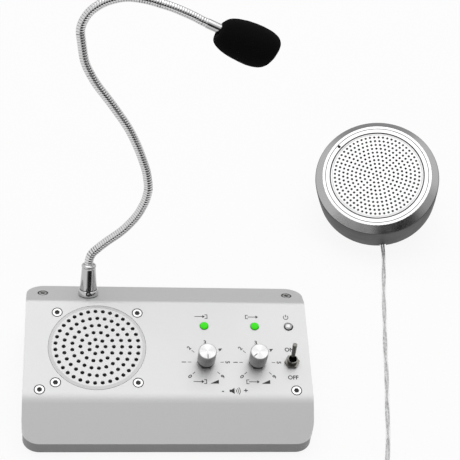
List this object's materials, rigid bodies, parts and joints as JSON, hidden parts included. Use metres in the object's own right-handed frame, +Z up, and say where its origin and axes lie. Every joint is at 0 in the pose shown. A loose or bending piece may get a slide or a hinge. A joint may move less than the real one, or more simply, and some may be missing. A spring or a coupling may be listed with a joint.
{
  "type": "window intercom",
  "caption": "Counter intercom: sloped desk console with a gooseneck microphone, loudspeaker and volume knobs, and a round outer speaker unit on a cord.",
  "frame": {"origin": "centre of the bounding box at desk level, measured without the cord, its coil and its plug", "axes": "+Z up, the console faces -Y, and the outer unit stands behind it on the +X side"},
  "size_m": [0.2844, 0.3533, 0.2175],
  "materials": {
    "casing": "satin light grey paint",
    "tray": "satin mid grey paint",
    "screw": "bright plated steel",
    "feet": "matt black rubber",
    "cloth": "black acoustic cloth",
    "basket": "pressed steel",
    "paper": "black pressed paper",
    "magnet": "dark ferrite",
    "board": "green board",
    "spacer": "plain turned",
    "sink": "plain extrusion",
    "capacitor": "black sleeve",
    "lamp_green": "lit green lens",
    "lamp_clear": "unlit clear lens",
    "control": "plain can",
    "dark_nut": "blackened",
    "knob": "satin turned aluminium",
    "shaft": "plain turned",
    "bright_metal": "bright chrome",
    "neck": "fine ribbed chrome",
    "capsule": "plain can",
    "foam": "black open-cell foam",
    "socket": "black moulding",
    "unit_casing": "silver satin metal",
    "unit_back": "dark grey",
    "cord": "clear jacket over twisted silver wires",
    "plug": "black moulding",
    "plug_metal": "bright plated"
  },
  "bodies": {
    "console_and_outer_unit": {"top_cover": "casing", "base_tray": "tray", "case_screws": "screw", "case_pillars": "screw", "rubber_feet": "feet", "foot_screws": "screw", "speaker_gauze": "cloth", "speaker_basket": "basket", "speaker_cone": "paper", "speaker_magnet": "magnet", "speaker_screws": "screw", "speaker_nuts": "screw", "main_circuit_board": "board", "board_standoffs": "spacer", "board_screws": "screw", "amplifier_heat_sink": "sink", "filter_capacitors": "capacitor", "inside_call_lamp": "lamp_green", "outside_call_lamp": "lamp_green", "power_lamp": "lamp_clear", "internal_volume_control": "control", "external_volume_control": "control", "volume_control_nuts": "dark_nut", "toggle_body": "control", "toggle_bush": "bright_metal", "toggle_nut": "bright_metal", "neck_ferrule": "bright_metal", "neck_collar": "bright_metal", "neck_nut": "bright_metal", "neck_set_screw": "screw", "neck_root": "neck", "power_inlet": "socket", "outer_unit_jack": "socket", "record_jack": "socket", "socket_nuts": "bright_metal", "outer_housing": "unit_casing", "outer_grille": "unit_casing", "outer_speaker_basket": "basket", "outer_speaker_cone": "paper", "outer_speaker_magnet": "magnet", "outer_microphone": "capsule", "outer_back_cover": "unit_back", "outer_back_screws": "screw", "outer_cord_boot": "feet", "outer_cord": "cord", "outer_cord_coil": "cord", "outer_cord_tail": "cord", "plug_body": "plug", "plug_tip": "plug_metal"},
    "internal_volume_dial": {"internal_volume_knob": "knob", "internal_volume_shaft": "shaft"},
    "external_volume_dial": {"external_volume_knob": "knob", "external_volume_shaft": "shaft"},
    "power_switch": {"toggle_lever": "bright_metal"},
    "neck_lower": {"neck_link_lower": "neck"},
    "neck_middle": {"neck_link_middle": "neck"},
    "neck_upper": {"neck_link_upper": "neck"},
    "microphone": {"mic_sleeve": "bright_metal", "mic_capsule": "capsule"},
    "windscreen": {"foam_windscreen": "foam"}
  },
  "joints": [
    {"name": "internal_volume", "type": "hinge", "parent": "console_and_outer_unit", "child": "internal_volume_dial", "pos_m": [-0.03335, -0.08495, 0.03207], "axis": [0, 0.2079, -0.9781], "range_deg": [0, 300]},
    {"name": "external_volume", "type": "hinge", "parent": "console_and_outer_unit", "child": "external_volume_dial", "pos_m": [-0.00205, -0.08495, 0.03207], "axis": [0, 0.2079, -0.9781], "range_deg": [0, 300]},
    {"name": "power_toggle", "type": "hinge", "parent": "console_and_outer_unit", "child": "power_switch", "pos_m": [0.01915, -0.08516, 0.03305], "axis": [1, 0, 0], "range_deg": [0, 25]},
    {"name": "neck_bend_lower", "type": "hinge", "parent": "console_and_outer_unit", "child": "neck_lower", "pos_m": [-0.10425, -0.02622, 0.05969], "axis": [1, 0, 0], "range_deg": [-25, 25]},
    {"name": "neck_bend_middle", "type": "hinge", "parent": "neck_lower", "child": "neck_middle", "pos_m": [-0.06965, -0.00911, 0.10752], "axis": [0, 0.9415, -0.3369], "range_deg": [-25, 25]},
    {"name": "neck_bend_upper", "type": "hinge", "parent": "neck_middle", "child": "neck_upper", "pos_m": [-0.11105, 0.01953, 0.18755], "axis": [0, 0.9415, -0.3369], "range_deg": [-25, 25]},
    {"name": "microphone_turn", "type": "hinge", "parent": "neck_upper", "child": "microphone", "pos_m": [-0.04205, 0.02506, 0.20299], "axis": [0, 0.3369, 0.9415], "range_deg": [-30, 30]},
    {"name": "windscreen_slide", "type": "slide", "parent": "microphone", "child": "windscreen", "axis": [0.9219, -0.1306, -0.3649], "range_m": [0, 0.045]}
  ]
}
